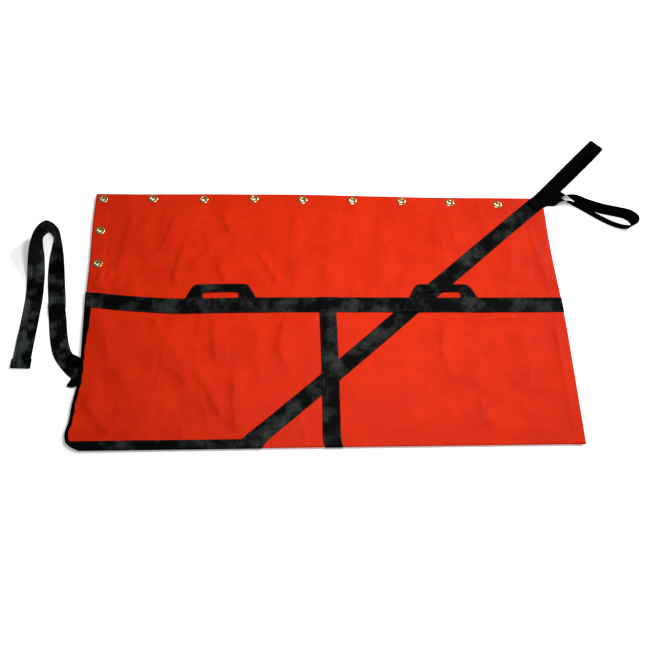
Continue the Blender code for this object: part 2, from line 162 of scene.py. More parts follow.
# Creases of the laid sheet: the line that each follows from its upper end, its steepness on the
# head side and on the foot side, and its height
CREASES = [
    ([(-0.690, -0.020), (-0.640, -0.120), (-0.585, -0.210), (-0.525, -0.310), (-0.470, -0.400)],
     0.036, 0.085, 0.0046),
    ([(-0.690, -0.280), (-0.640, -0.335), (-0.590, -0.395)], 0.013, 0.033, 0.0049),
    ([(-0.610, -0.030), (-0.520, -0.125), (-0.440, -0.225)], 0.009, 0.025, 0.0046),
    ([(-0.530, -0.060), (-0.460, -0.155), (-0.400, -0.260)], 0.009, 0.023, 0.0049),
    ([(-0.395, -0.190), (-0.345, -0.265), (-0.300, -0.350)], 0.009, 0.022, 0.0049),
    ([(-0.278, -0.205), (-0.266, -0.300), (-0.262, -0.395)], 0.008, 0.022, 0.0049),
    ([(-0.337, -0.040), (-0.334, -0.110), (-0.322, -0.190)], 0.009, 0.025, 0.0043),
    ([(-0.125, -0.040), (-0.147, -0.130), (-0.128, -0.200)], 0.012, 0.028, 0.0048),
    ([(-0.205, -0.060), (-0.215, -0.150), (-0.200, -0.240)], 0.022, 0.025, 0.0028),
    ([(0.338, -0.060), (0.330, -0.150), (0.350, -0.260)], 0.009, 0.025, 0.0046),
    ([(0.446, -0.165), (0.428, -0.215), (0.392, -0.262)], 0.010, 0.022, 0.0037),
    ([(0.418, -0.285), (0.428, -0.330), (0.438, -0.385)], 0.008, 0.020, 0.0041),
    ([(0.560, -0.060), (0.575, -0.180), (0.560, -0.300)], 0.029, 0.041, 0.0039),
    ([(0.235, -0.200), (0.215, -0.300), (0.240, -0.400)], 0.032, 0.037, 0.0034),
    ([(-0.588, 0.325), (-0.606, 0.210), (-0.628, 0.085)], 0.009, 0.028, 0.0049),
    ([(-0.540, 0.330), (-0.560, 0.240), (-0.545, 0.150)], 0.019, 0.025, 0.0039),
    ([(-0.325, 0.225), (-0.370, 0.170), (-0.415, 0.108)], 0.009, 0.022, 0.0049),
    ([(-0.430, 0.200), (-0.448, 0.140), (-0.458, 0.065)], 0.008, 0.020, 0.0049),
    ([(-0.326, 0.150), (-0.318, 0.110), (-0.300, 0.075)], 0.007, 0.018, 0.0047),
    ([(-0.318, 0.320), (-0.305, 0.285), (-0.284, 0.243)], 0.009, 0.020, 0.0047),
    ([(-0.460, 0.310), (-0.480, 0.240), (-0.505, 0.170)], 0.009, 0.025, 0.0034),
    ([(-0.214, 0.200), (-0.175, 0.130), (-0.132, 0.058)], 0.009, 0.022, 0.0037),
    ([(-0.090, 0.345), (-0.096, 0.200), (-0.094, 0.040)], 0.016, 0.037, 0.0048),
    ([(0.014, 0.345), (0.010, 0.200), (0.004, 0.040)], 0.014, 0.037, 0.0048),
    ([(0.182, 0.345), (0.174, 0.200), (0.164, 0.045)], 0.019, 0.041, 0.0043),
    ([(0.366, 0.345), (0.352, 0.250), (0.340, 0.120)], 0.016, 0.037, 0.0046),
    ([(0.570, 0.300), (0.580, 0.200), (0.560, 0.060)], 0.025, 0.037, 0.0039),
    ([(0.655, 0.270), (0.668, 0.160), (0.676, 0.060)], 0.010, 0.016, 0.0028),
    ([(0.668, -0.050), (0.676, -0.200), (0.680, -0.380)], 0.007, 0.014, 0.0027),
    # gathers that run out of the head end of the long strap
    ([(-0.640, 0.120), (-0.655, 0.075), (-0.690, 0.035)], 0.005, 0.011, 0.0038),
    ([(-0.600, 0.095), (-0.630, 0.060), (-0.680, 0.040)], 0.005, 0.010, 0.0030),
    ([(-0.672, 0.120), (-0.678, 0.080), (-0.696, 0.040)], 0.005, 0.010, 0.0030),
    # short puckers below the long strap
    ([(0.500, -0.032), (0.520, -0.046), (0.560, -0.040)], 0.006, 0.008, 0.0038),
    ([(-0.500, -0.040), (-0.505, -0.060), (-0.500, -0.085)], 0.006, 0.010, 0.0026),
]

# A crease stands no higher than the room that it has when the sheet is opened out face down
PUFF_ROOM = MIDDLE_Z - CLOTH_FACE - 0.6 * MM
PUFF_KNEE = 0.3 * MM

# Slow swells of a sheet that has been folded away: wave length, heading in degrees, start, height
SWELLS = [(0.33, 15, 0.4, 0.00075), (0.24, 100, 1.9, 0.00060), (0.17, 62, 4.1, 0.00050),
          (0.13, 140, 2.7, 0.00042), (0.095, 20, 5.3, 0.00034), (0.070, 78, 0.9, 0.00026),
          (0.052, 118, 3.6, 0.00018)]


def beside_line(line, x, y):
    """Signed distance from a line (above zero on the foot side) and how far along it, 0 to 1."""
    best = np.full(x.shape, 9.0)
    side = np.zeros(x.shape)
    along = np.zeros(x.shape)
    lengths = [math.dist(a, b) for a, b in zip(line, line[1:])]
    total = sum(lengths)
    done = 0.0
    for (ax, ay), (bx, by), length in zip(line, line[1:], lengths):
        ux, uy = (bx - ax) / length, (by - ay) / length
        t = np.clip((x - ax) * ux + (y - ay) * uy, 0, length)
        dx, dy = x - ax - t * ux, y - ay - t * uy
        gap = np.hypot(dx, dy)
        nearer = gap < best
        best = np.where(nearer, gap, best)
        side = np.where(nearer, np.sign(ux * dy - uy * dx), side)
        along = np.where(nearer, (done + t) / total, along)
        done += length
    return best * np.where(side == 0, 1, side), along


def diagonal_offset(x, y):
    """Signed distance from the diagonal strap's centre line."""
    return ((y - FOLD_Y) * math.cos(DIAGONAL_ANGLE) - (x - DIAGONAL_START_X) * math.sin(DIAGONAL_ANGLE))


def band(offset, half, soft):
    """1 inside a strap's footprint, falling to 0 over soft outside it."""
    return ease((half + soft - np.abs(offset)) / soft)


def held_down(x, y, soft):
    """Where webbing sewn on the cloth keeps it flat: 1 under it and 0 well away from it."""
    long_strap = band(y, WEB_WIDTH / 2, soft)
    cross = band(x, WEB_WIDTH / 2, soft) * (y < 0)
    diagonal = band(diagonal_offset(x, y), WEB_WIDTH / 2, soft)
    fold = ease((FOLD_Y + 0.030 + soft - y) / soft)
    held = np.maximum(np.maximum(long_strap, cross), np.maximum(diagonal, fold))
    grip_top, fade = 0.066, 0.020
    for middle in HANDLES.values():
        handle = band(x - middle, 0.095, 0.035) * ease((grip_top + fade - y) / fade) * (y > 0)
        held = np.maximum(held, handle)
    return held


def swell(x, y):
    """Height of the slow swells of the sheet."""
    total = np.zeros(x.shape)
    for length, heading, start, height in SWELLS:
        turn = math.radians(heading)
        total += height * np.sin(2 * math.pi / length * (x * math.cos(turn) + y * math.sin(turn)) + start)
    return total


def puff_of_upper(x, y):
    """How far the upper half's cloth stands up from its flat lie: swells, creases and a soft limit."""
    height = 0.6 * MM + 0.4 * swell(x, y)
    for line, head_side, foot_side, tall in CREASES:
        side, along = beside_line(line, x, y)
        reach = np.where(side > 0, foot_side, head_side)
        end_fade = ease(np.minimum(along, 1 - along) * 4.5)
        near = np.abs(side / reach)
        height = height + tall * np.exp(-near * near / (0.25 + near)) * (0.10 + 0.90 * end_fade)
    height = np.maximum(height, 0) + 0.1 * MM
    height = PUFF_ROOM - PUFF_KNEE * np.log1p(np.exp((PUFF_ROOM - height) / PUFF_KNEE))
    return height * (1 - 0.72 * held_down(x, y, 0.022))


def puff_of_lower(x, y):
    """The lower half hangs between its straps, a little closer to what it lies on."""
    height = np.clip(0.0008 + 0.6 * swell(x, y + 0.3), 0, 0.0022)
    return height * (1 - held_down(x, y, 0.030))


def flat_round_eyelets(height_of, x, y):
    """The cloth's puff, brought to one height round each eyelet."""
    height = height_of(x, y)
    for ex, ey in EYELETS.values():
        here = height_of(np.array([ex]), np.array([ey]))[0]
        near = 1 - ease((np.hypot(x - ex, y - ey) - EYELET_FLAT) / EYELET_FADE)
        height = height * (1 - near) + here * near
    return height


def on_sheet(x, m, rise):
    """Points of the folded sheet from x, the signed distance m from the fold, and rise."""
    x, m, rise = np.broadcast_arrays(*(np.asarray(part, float) for part in (x, m, rise)))
    far = np.abs(m)
    y = y_at(m)
    upper = m > 0
    from_fold = ease((far - FOLD_ARC) / 0.030)
    puff = np.where(upper, flat_round_eyelets(puff_of_upper, x, y), flat_round_eyelets(puff_of_lower, x, y))
    radius = CLOTH_FACE + rise + puff * from_fold
    turn = np.minimum(far / CLOTH_FACE, math.pi / 2)
    flat = np.maximum(far - FOLD_ARC, 0)
    shift_x, shift_y = wander(x, y)
    place_y = FOLD_Y + CLOTH_FACE - radius * np.cos(turn) + flat + shift_y
    place_z = MIDDLE_Z + np.where(upper, 1, -1) * radius * np.sin(turn)
    return np.stack([x + shift_x, place_y, place_z], axis=-1)


# ------------------------------------------------------------------------------- mesh makers

def new_piece(name, points, faces, finish):
    mesh = bpy.data.meshes.new(name)
    mesh.from_pydata([tuple(p) for p in points], [], faces)
    mesh.validate()
    tidy = bmesh.new()
    tidy.from_mesh(mesh)
    bmesh.ops.recalc_face_normals(tidy, faces=tidy.faces)
    tidy.to_mesh(mesh)
    tidy.free()
    mesh.polygons.foreach_set("use_smooth", [True] * len(mesh.polygons))
    mesh.materials.append(finish)
    piece = bpy.data.objects.new(name, mesh)
    bpy.context.scene.collection.objects.link(piece)
    return piece


def keep_lay(piece, lay):
    """Store where each point is on the flat material, in metres along and across, for its weave."""
    layer = piece.data.attributes.new("lay", "FLOAT_VECTOR", "POINT")
    flat = np.zeros((len(lay), 3), np.float32)
    flat[:, :2] = lay
    layer.data.foreach_set("vector", flat.ravel())


def with_holes(x, y, m):
    """Grid points drawn in to the rims of the eyelet holes, and which squares and points are kept."""
    columns, rows = x.shape
    holes = [(ex, ey) for ex, ey in EYELETS.values() if np.hypot(x - ex, y - ey).min() < 0.01]
    keep = np.ones((columns - 1, rows - 1), bool)
    mid_x = (x[:-1, :-1] + x[1:, 1:]) / 2
    mid_y = (y[:-1, :-1] + y[1:, 1:]) / 2
    for ex, ey in holes:
        keep &= np.hypot(mid_x - ex, mid_y - ey) > EYELET_HOLE - 0.7 * MM
    used = np.zeros((columns, rows), bool)
    opened = np.zeros((columns, rows), bool)
    for di in (0, 1):
        for dj in (0, 1):
            used[di:columns - 1 + di, dj:rows - 1 + dj] |= keep
            opened[di:columns - 1 + di, dj:rows - 1 + dj] |= ~keep
    rim = used & opened
    for ex, ey in holes:
        dx, dy = x - ex, y - ey
        gap = np.hypot(dx, dy)
        close = rim & (gap < 0.016)
        ratio = np.where(close, EYELET_HOLE / np.maximum(gap, 1e-6), 1.0)
        x = np.where(close, ex + dx * ratio, x)
        y = np.where(close, ey + dy * ratio, y)
        m = np.where(close, np.sign(m) * m_at(y), m)
    return x, y, m, keep, used


def cloth_sheet(name, xs, ms, finish, hem):
    """Cloth with two faces over a grid of x and m, with round holes under its eyelets."""
    x, m = np.meshgrid(xs, ms, indexing="ij")
    x, y, m, keep, used = with_holes(x, y_at(m), m)
    outer = on_sheet(x, m, hem(x, y) * HEM_THICK)
    inner = on_sheet(x, m, -CLOTH_THICK)
    count = int(used.sum())
    number = -np.ones(used.shape, int)
    number[used] = np.arange(count)
    faces, border = [], {}
    for i, j in np.argwhere(keep):
        ring = [int(number[i + di, j + dj]) for di, dj in ((0, 0), (1, 0), (1, 1), (0, 1))]
        faces.append(ring)
        faces.append([count + v for v in reversed(ring)])
        for a, b in zip(ring, ring[1:] + ring[:1]):
            if (b, a) in border:
                del border[(b, a)]
            else:
                border[(a, b)] = True
    for a, b in border:
        faces.append([b, a, count + a, count + b])
    piece = new_piece(name, np.concatenate([outer[used], inner[used]]), faces, finish)
    lay = np.stack([x[used], m[used]], axis=-1)
    keep_lay(piece, np.concatenate([lay, lay]))
    return piece


def web_section(width, thick, steps):
    """Cross-section of flat webbing, with rounded selvedges: places across and heights."""
    inset = thick * 0.55
    across = np.linspace(-width / 2 + inset, width / 2 - inset, steps)
    crown = thick * (1 + 0.10 * np.exp(-((np.abs(across) - width / 2 + inset) / 0.0022) ** 2))
    section = [(a, 0.0) for a in across]
    section += [(width / 2 - inset * 0.3, thick * 0.18), (width / 2, thick * 0.5),
                (width / 2 - inset * 0.3, thick * 0.85)]
    section += [(a, h) for a, h in zip(across[::-1], crown[::-1])]
    section += [(-width / 2 + inset * 0.3, thick * 0.85), (-width / 2, thick * 0.5),
                (-width / 2 + inset * 0.3, thick * 0.18)]
    return section


def tube_faces(rings, size):
    """Faces of a closed tube of rings, each of size points, one after another."""
    faces = []
    for k in range(rings - 1):
        for j in range(size):
            a, b = k * size + j, k * size + (j + 1) % size
            faces.append([a, b, b + size, a + size])
    faces.append(list(range(size)))
    faces.append([(rings - 1) * size + j for j in reversed(range(size))])
    return faces


def run_of(route):
    """How far along a line of points each one is."""
    return np.r_[0, np.cumsum(np.linalg.norm(np.diff(route, axis=0), axis=1))]


def heading_of(route):
    """The way that a line of points runs at each one, as unit vectors."""
    way = np.gradient(route, axis=0)
    return way / np.linalg.norm(way, axis=1)[:, None]


def spread_route(route, spacing):
    """Points at an even spacing along a line of points of any size."""
    route = np.asarray(route, float)
    steps = run_of(route[:, :2])
    count = max(2, int(round(steps[-1] / spacing)) + 1)
    at = np.linspace(0, steps[-1], count)
    return np.stack([np.interp(at, steps, route[:, k]) for k in range(route.shape[1])], axis=-1), at


def webbing_piece(name, points, finish, along, across):
    """A closed tube through rings of points, with the place of each on the flat webbing."""
    rings, size = points.shape[:2]
    piece = new_piece(name, points.reshape(-1, 3), tube_faces(rings, size), finish)
    keep_lay(piece, np.stack(np.broadcast_arrays(along, across), axis=-1).reshape(-1, 2))
    return piece


def strap_on_sheet(name, ends, lies_on, finish, spacing=0.007, trim=None):
    """Webbing sewn on the sheet between two (x, m) ends, lying on all that is under it."""
    route, at = spread_route(ends, spacing)
    way = heading_of(route)
    across, high = np.array(web_section(WEB_WIDTH, WEB_THICK, 11)).T
    x = route[:, :1] - way[:, 1:] * across
    m = route[:, 1:] + way[:, :1] * across
    if trim:
        x, m = trim(x, m)
    points = on_sheet(x, m, lies_on(x, y_at(m)) + CLEAR / 2 + high)
    return webbing_piece(name, points, finish, at[:, None], across)


# What lies under each layer of webbing, as a rise at each place
LAYER = WEB_THICK + CLEAR / 2
LAYER_FADE = 5 * MM


def on_cloth(x, y):
    """Webbing that lies on the cloth alone."""
    return np.zeros(np.shape(x))


def over_centre(x, y):
    """Over the centre strap's edge, a little way up from the fold."""
    return LAYER * ease((FOLD_Y + 0.029 - y) / 0.004)


def over_diagonal(x, y):
    return LAYER * band(diagonal_offset(x, y), WEB_WIDTH / 2, LAYER_FADE)


def handle_leg(x, y):
    """Footprint of the sewn ends of the carry handles under the long strap, which slant outwards."""
    total = np.zeros(np.shape(x))
    for middle in HANDLES.values():
        slide = np.clip((0.025 - y) / WEB_WIDTH, 0, 1) * 0.032
        gap = np.abs(x - middle) - (HANDLE_SLOT / 2 + HANDLE_BASE / 2) / 2 - slide
        total = np.maximum(total, band(gap, 0.026, LAYER_FADE))
    return total


def over_everything(x, y):
    """The long straps lie over the diagonal and cross straps, the handles' ends and the bindings."""
    webs = over_diagonal(x, y) + LAYER * band(x, WEB_WIDTH / 2, LAYER_FADE) + LAYER * handle_leg(x, y)
    binding = 1.1 * MM * ease((HEAD_X + 0.021 - x) / 0.003)
    return np.maximum(webs, binding)


# --------------------------------------------------------------------------------- stitching

STITCH_PITCH = 4.2 * MM
THREAD = 0.55 * MM
SEAM_OFFSET = WEB_WIDTH / 2 - 3.5 * MM
# One stitch: a bead of thread pulled down at its ends, as shares of the pitch along and of the
# thread's thickness across and up, and the faces over those points
BEAD = ((-0.42, 0, 0.0), (-0.2, 0.5, 0.45), (-0.2, 0, 0.9), (-0.2, -0.5, 0.45),
        (0.2, 0.5, 0.45), (0.2, 0, 0.9), (0.2, -0.5, 0.45), (0.42, 0, 0.0))
BEAD_FACES = ((0, 1, 2), (0, 2, 3), (1, 4, 5, 2), (2, 5, 6, 3), (4, 7, 5), (5, 7, 6), (0, 3, 1),
              (1, 3, 6, 4), (4, 6, 7))


def stitches(name, lines, finish, rise_of):
    """Lock stitches along (x, m) lines on the sheet."""
    points, faces = [], []
    for line in lines:
        route, _ = spread_route(line, STITCH_PITCH)
        for (x, m), (ux, um) in zip(route, heading_of(route)):
            faces += [[len(points) + v for v in face] for face in BEAD_FACES]
            points += [(x + ux * along * STITCH_PITCH - um * side * THREAD,
                        m + um * along * STITCH_PITCH + ux * side * THREAD, high * THREAD)
                       for along, side, high in BEAD]
    x, m, high = np.array(points).T
    return new_piece(name, on_sheet(x, m, rise_of(x, y_at(m)) + high), faces, finish)


def both_edges(line):
    """The two seams of a strap on a straight (x, m) line, one just inside each of its edges."""
    (ax, am), (bx, bm) = line
    length = math.hypot(bx - ax, bm - am)
    side_x, side_m = -(bm - am) / length * SEAM_OFFSET, (bx - ax) / length * SEAM_OFFSET
    return [[(ax + side_x, am + side_m), (bx + side_x, bm + side_m)],
            [(ax - side_x, am - side_m), (bx - side_x, bm - side_m)]]


def plate_on_sheet(name, rungs, lies_on, finish, spacing=0.005):
    """Webbing laid as a bent shape: each rung is (inner x, inner m, outer x, outer m, thickness)."""
    rungs = np.asarray(rungs, float)
    steps = run_of((rungs[:, :2] + rungs[:, 2:4]) / 2)
    at = np.linspace(0, steps[-1], int(steps[-1] / spacing) + 1)
    inner_x, inner_m, outer_x, outer_m, thick = (np.interp(at, steps, column)[:, None]
                                                 for column in rungs.T)
    unit_thick = 0.03
    across, high = np.array(web_section(1.0, unit_thick, 9)).T
    share = across + 0.5
    x = inner_x * (1 - share) + outer_x * share
    m = inner_m * (1 - share) + outer_m * share
    points = on_sheet(x, m, lies_on(x, y_at(m)) + CLEAR / 2 + high / unit_thick * thick)
    widths = np.hypot(outer_x - inner_x, outer_m - inner_m)
    return webbing_piece(name, points, finish, at[:, None], across * widths)


def smooth_route(knots, steps):
    """Points of a smooth curve through the knots, steps to each span (Catmull-Rom)."""
    padded = [knots[0]] + list(knots) + [knots[-1]]
    route = []
    for k in range(1, len(padded) - 2):
        before, start, end, after = (np.array(padded[k + j], float) for j in (-1, 0, 1, 2))
        for step in range(steps):
            t = step / steps
            route.append(0.5 * (2 * start + (end - before) * t
                                + (2 * before - 5 * start + 4 * end - after) * t ** 2
                                + (3 * start - before - 3 * end + after) * t ** 3))
    route.append(np.array(padded[-1], float))
    return np.array(route)


def leaning_strap(name, route, finish, width=WEB_WIDTH, thick=WEB_THICK):
    """Webbing along (x, y, lift, lean) points: lean 90 lies flat, 0 stands on its edge.

    Above zero the top leans to the right of the way it runs. lift is its lowest line's height.
    """
    section = web_section(width, thick, 13)
    rings = []
    for (x, y, lift, lean), (ux, uy) in zip(route, heading_of(route[:, :2])):
        lean = math.radians(lean)
        up = Vector((uy * math.sin(lean), -ux * math.sin(lean), math.cos(lean)))
        out = Vector((ux, uy, 0)).cross(up)
        if out.z < 0:
            out = -out
        rise = width / 2 * abs(math.cos(lean)) + thick / 2 * abs(math.sin(lean))
        middle = Vector((x, y, lift + rise))
        rings.append([middle + up * across + out * (high - thick / 2) for across, high in section])
    return webbing_piece(name, np.array(rings), finish, run_of(route[:, :2])[:, None],
                         np.array(section)[:, 0])


def turned_ring(name, profile, sides, finish):
    """A ring turned about Z from a closed profile of (radius, height)."""
    points, faces = [], []
    size = len(profile)
    for k in range(sides):
        turn = 2 * math.pi * k / sides
        points += [(r * math.cos(turn), r * math.sin(turn), h) for r, h in profile]
    for k in range(sides):
        for j in range(size):
            a, b = k * size + j, k * size + (j + 1) % size
            c, d = ((k + 1) % sides) * size + j, ((k + 1) % sides) * size + (j + 1) % size
            faces.append([a, c, d, b])
    return new_piece(name, points, faces, finish)


# --------------------------------------------------------------------------------- materials

def linear(colour):
    """An sRGB hex colour turned to linear light."""
    parts = [int(colour[k:k + 2], 16) / 255 for k in (1, 3, 5)]
    return tuple(p / 12.92 if p <= 0.04045 else ((p + 0.055) / 1.055) ** 2.4 for p in parts) + (1.0,)


def add_node(tree, kind, fields=None, inputs=None, links=None):
    """Add a node, set its fields and input values, and link its inputs to other nodes' outputs."""
    node = tree.nodes.new("ShaderNode" + kind)
    for field, value in (fields or {}).items():
        setattr(node, field, value)
    for socket, value in (inputs or {}).items():
        node.inputs[socket].default_value = value
    feed(tree, node, links or {})
    return node


def feed(tree, node, links):
    for socket, (source, output) in links.items():
        tree.links.new(source.outputs[output], node.inputs[socket])


def start_finish(name, inputs):
    """A material with one Principled shader, and the two places that its patterns are drawn from:
    where a point is on the flat cloth or webbing, and where it is on the piece."""
    finish = bpy.data.materials.new(name)
    finish.use_nodes = True
    tree = finish.node_tree
    tree.nodes.clear()
    shader = add_node(tree, "BsdfPrincipled", inputs=inputs)
    add_node(tree, "OutputMaterial", links={"Surface": (shader, "BSDF")})
    flat = add_node(tree, "Attribute", {"attribute_name": "lay"})
    place = add_node(tree, "TexCoord")
    return finish, tree, shader, {"Vector": (flat, "Vector")}, {"Vector": (place, "Object")}


def two_colours(tree, first, second, factor, start=0.0, end=1.0):
    """A ramp from the first colour at start to the second at end, along a node's value."""
    ramp = add_node(tree, "ValToRGB", links={"Fac": factor})
    for element, colour, at in zip(ramp.color_ramp.elements, (first, second), (start, end)):
        element.color = linear(colour)
        element.position = at
    return ramp


def bands(direction):
    """Settings of a wave pattern of straight bands."""
    return {"wave_type": "BANDS", "bands_direction": direction}


def bands_every(spacing):
    """The scale that draws bands this far apart along X or Y, and twice as far on the diagonal."""
    return 0.314 / spacing


def coated_canvas():
    """PU-coated polyester canvas, plain weave: a soft sheen over a fine even grain, faintly mottled
    where the coat is thicker, with small hard creases from having been folded away."""
    finish, tree, shader, flat, place = start_finish("coated_canvas",
                                                     {"IOR": 1.48, "Specular IOR Level": 0.045})
    # mottling about 45 mm wide, and the finer cloudiness of the coat at 9 mm
    cloud = add_node(tree, "TexNoise", None, {"Scale": 1 / (90 * MM), "Detail": 6.0, "Roughness": 0.66},
                     place)
    red = two_colours(tree, "#AC1D03", "#B82305", (cloud, "Fac"), 0.36, 0.66)
    fine = add_node(tree, "TexNoise", None, {"Scale": 1 / (9 * MM), "Detail": 3.0}, place)
    speck = two_colours(tree, "#F4F4F4", "#FFFFFF", (fine, "Fac"))
    colour = add_node(tree, "Mix", {"data_type": "RGBA", "blend_type": "MULTIPLY"}, {0: 1.0},
                      {6: (red, "Color"), 7: (speck, "Color")})
    rough = add_node(tree, "MapRange", None,
                     {"From Min": 0.3, "From Max": 0.7, "To Min": 0.50, "To Max": 0.66},
                     {"Value": (cloud, "Fac")})
    # the real threads are 0.5 mm apart, too fine to show, so the weave is drawn 3 mm apart
    warp = add_node(tree, "TexWave", bands("X"), {"Scale": bands_every(3 * MM)}, flat)
    weft = add_node(tree, "TexWave", bands("Y"), {"Scale": bands_every(3 * MM)}, flat)
    weave = add_node(tree, "Math", {"operation": "MULTIPLY"}, None, {0: (warp, "Fac"), 1: (weft, "Fac")})
    # hard little folds, 50 mm apart, that run mostly across the sheet
    drawn = add_node(tree, "Mapping", None, {"Scale": (1 / (50 * MM), 1 / (110 * MM), 1 / (50 * MM)),
                                             "Rotation": (0.0, 0.0, -0.3)}, place)
    crumple = add_node(tree, "TexNoise", {"noise_type": "RIDGED_MULTIFRACTAL"},
                       {"Scale": 1.0, "Detail": 4.0, "Roughness": 0.45, "Distortion": 0.5},
                       {"Vector": (drawn, "Vector")})
    creases = add_node(tree, "Bump", None, {"Strength": 0.9, "Distance": 2.8 * MM},
                       {"Height": (crumple, "Fac")})
    grain = add_node(tree, "Bump", None, {"Strength": 0.30, "Distance": 0.12 * MM},
                     {"Height": (weave, "Value"), "Normal": (creases, "Normal")})
    feed(tree, shader, {"Base Color": (colour, 2), "Roughness": (rough, "Result"),
                        "Normal": (grain, "Normal")})
    return finish


def polyester_webbing(name, painted_sheen_colour, gloss, bar_length=16, bar_width=24):
    """Black polyester webbing, 50 mm, tight herringbone weave: near black, with a grey-green painted sheen in
    patches, standing in for the highlights where it has been bent and the satin threads face the light, and
    ribs along its length."""
    finish, tree, shader, flat, place = start_finish(name, {"IOR": 1.53, "Specular IOR Level": gloss})
    # ribs 8 mm apart along the webbing; the real slanted threads are 0.6 mm apart, too fine to
    # show, so they are drawn 5 mm apart along it
    ribs = add_node(tree, "TexWave", bands("Y"), {"Scale": bands_every(8 * MM), "Distortion": 0.4}, flat)
    threads = add_node(tree, "TexWave", bands("DIAGONAL"), {"Scale": bands_every(2.4 * MM)}, flat)
    # painted sheen: patches about 50 mm apart, each drawn as soft bars of painted highlight: short and wide
    #     where the webbing is sewn flat, and long and narrow where it hangs free
    stretched = add_node(tree, "Mapping", None,
                         {"Scale": (1 / (bar_length * MM), 1 / (bar_width * MM), 1.0)}, flat)
    bars = add_node(tree, "TexNoise", None, {"Scale": 1.0, "Detail": 3.0, "Roughness": 0.5},
                    {"Vector": (stretched, "Vector")})
    sheen_places = add_node(tree, "TexNoise", None, {"Scale": 1 / (50 * MM), "Detail": 2.0}, place)
    sheen_place_mask = add_node(tree, "MapRange", None, {"From Min": 0.40, "From Max": 0.66},
                    {"Value": (sheen_places, "Fac")})
    sheen_mask = add_node(tree, "Math", {"operation": "MULTIPLY"}, None, {0: (bars, "Fac"), 1: (sheen_place_mask, "Result")})
    ribbed = add_node(tree, "MapRange", None, {"To Min": 0.72, "To Max": 1.0}, {"Value": (ribs, "Fac")})
    painted_sheen_amount = add_node(tree, "Math", {"operation": "MULTIPLY"}, None,
                     {0: (sheen_mask, "Value"), 1: (ribbed, "Result")})
    # painted sheen: the base colour rises from near black to the sheen colour in the patches, in place of the
    # lamps' highlights
    painted_sheen = two_colours(tree, "#020303", painted_sheen_colour, (painted_sheen_amount, "Value"), 0.10, 0.62)
    rough = add_node(tree, "MapRange", None,
                     {"From Min": 0.1, "From Max": 0.6, "To Min": 0.62, "To Max": 0.42},
                     {"Value": (sheen_mask, "Value")})
    rib_bump = add_node(tree, "Bump", None, {"Strength": 0.6, "Distance": 0.35 * MM},
                        {"Height": (ribs, "Fac")})
    thread_bump = add_node(tree, "Bump", None, {"Strength": 0.5, "Distance": 0.15 * MM},
                           {"Height": (threads, "Fac"), "Normal": (rib_bump, "Normal")})
    dents = add_node(tree, "TexNoise", None, {"Scale": 1 / (30 * MM), "Detail": 2.0}, place)
    dent_bump = add_node(tree, "Bump", None, {"Strength": 0.7, "Distance": 3.0 * MM},
                         {"Height": (dents, "Fac"), "Normal": (thread_bump, "Normal")})
    feed(tree, shader, {"Base Color": (painted_sheen, "Color"), "Roughness": (rough, "Result"),
                        "Normal": (dent_bump, "Normal")})
    return finish


def rolled_brass():
    """Pressed and tumbled brass: warm and bright, with a brown tarnish in random patches about 5 mm across,
    and scratches under 1 mm apart."""
    finish, tree, shader, _, place = start_finish("rolled_brass", {"Metallic": 1.0})
    tarnish = add_node(tree, "TexNoise", None, {"Scale": 1 / (5 * MM), "Detail": 4.0, "Roughness": 0.65},
                       place)
    colour = two_colours(tree, "#8A6C36", "#D9BF80", (tarnish, "Fac"), 0.30, 0.58)
    rough = add_node(tree, "MapRange", None,
                     {"From Min": 0.3, "From Max": 0.7, "To Min": 0.34, "To Max": 0.18},
                     {"Value": (tarnish, "Fac")})
    scratch = add_node(tree, "TexNoise", None, {"Scale": 1 / (0.8 * MM), "Detail": 2.0}, place)
    bump = add_node(tree, "Bump", None, {"Strength": 0.15, "Distance": 0.05 * MM},
                    {"Height": (scratch, "Fac")})
    feed(tree, shader, {"Base Color": (colour, "Color"), "Roughness": (rough, "Result"),
                        "Normal": (bump, "Normal")})
    return finish


def bonded_thread(name, dark, light):
    """Bonded polyester sewing thread: twisted strands that catch the light as fine slanted lines,
    drawn 2 mm apart because the real 0.5 mm is too fine to show."""
    finish, tree, shader, _, place = start_finish(name, {"IOR": 1.53})
    twist = add_node(tree, "TexWave", bands("DIAGONAL"), {"Scale": bands_every(1 * MM)}, place)
    colour = two_colours(tree, dark, light, (twist, "Fac"))
    rough = add_node(tree, "MapRange", None, {"To Min": 0.45, "To Max": 0.6}, {"Value": (twist, "Fac")})
    bump = add_node(tree, "Bump", None, {"Strength": 0.4, "Distance": 0.1 * MM},
                    {"Height": (twist, "Fac")})
    feed(tree, shader, {"Base Color": (colour, "Color"), "Roughness": (rough, "Result"),
                        "Normal": (bump, "Normal")})
    return finish


def studio_paper():
    """Matt white background paper, seamless: even and nearly white, with a trace of paper grain."""
    finish, tree, shader, _, place = start_finish(
        "studio_paper", {"Roughness": 0.9, "Specular IOR Level": 0.2, "Emission Color": (1, 1, 1, 1),
                         "Emission Strength": 0.30})
    grain = add_node(tree, "TexNoise", None, {"Scale": 1 / (4 * MM), "Detail": 2.0}, place)
    colour = two_colours(tree, "#FAFAFA", "#FEFEFE", (grain, "Fac"))
    feed(tree, shader, {"Base Color": (colour, "Color")})
    return finish


canvas = coated_canvas()
# three copies of one webbing that differ in painted sheen: the loops get almost none and so are darker than
# the sewn straps, and the free drag strap gets a paler painted sheen in longer bars
webbing = polyester_webbing("polyester_webbing", "#282C2A", 0.020)
loop_webbing = polyester_webbing("polyester_loop_webbing", "#080909", 0.0)
drag_webbing = polyester_webbing("polyester_drag_webbing", "#3A403C", 0.020, 70, 9)
brass = rolled_brass()
black_thread = bonded_thread("black_thread", "#101112", "#2A2D2C")
red_thread = bonded_thread("red_thread", "#A8240A", "#D63A16")


# ------------------------------------------------------------------------------ the cloth

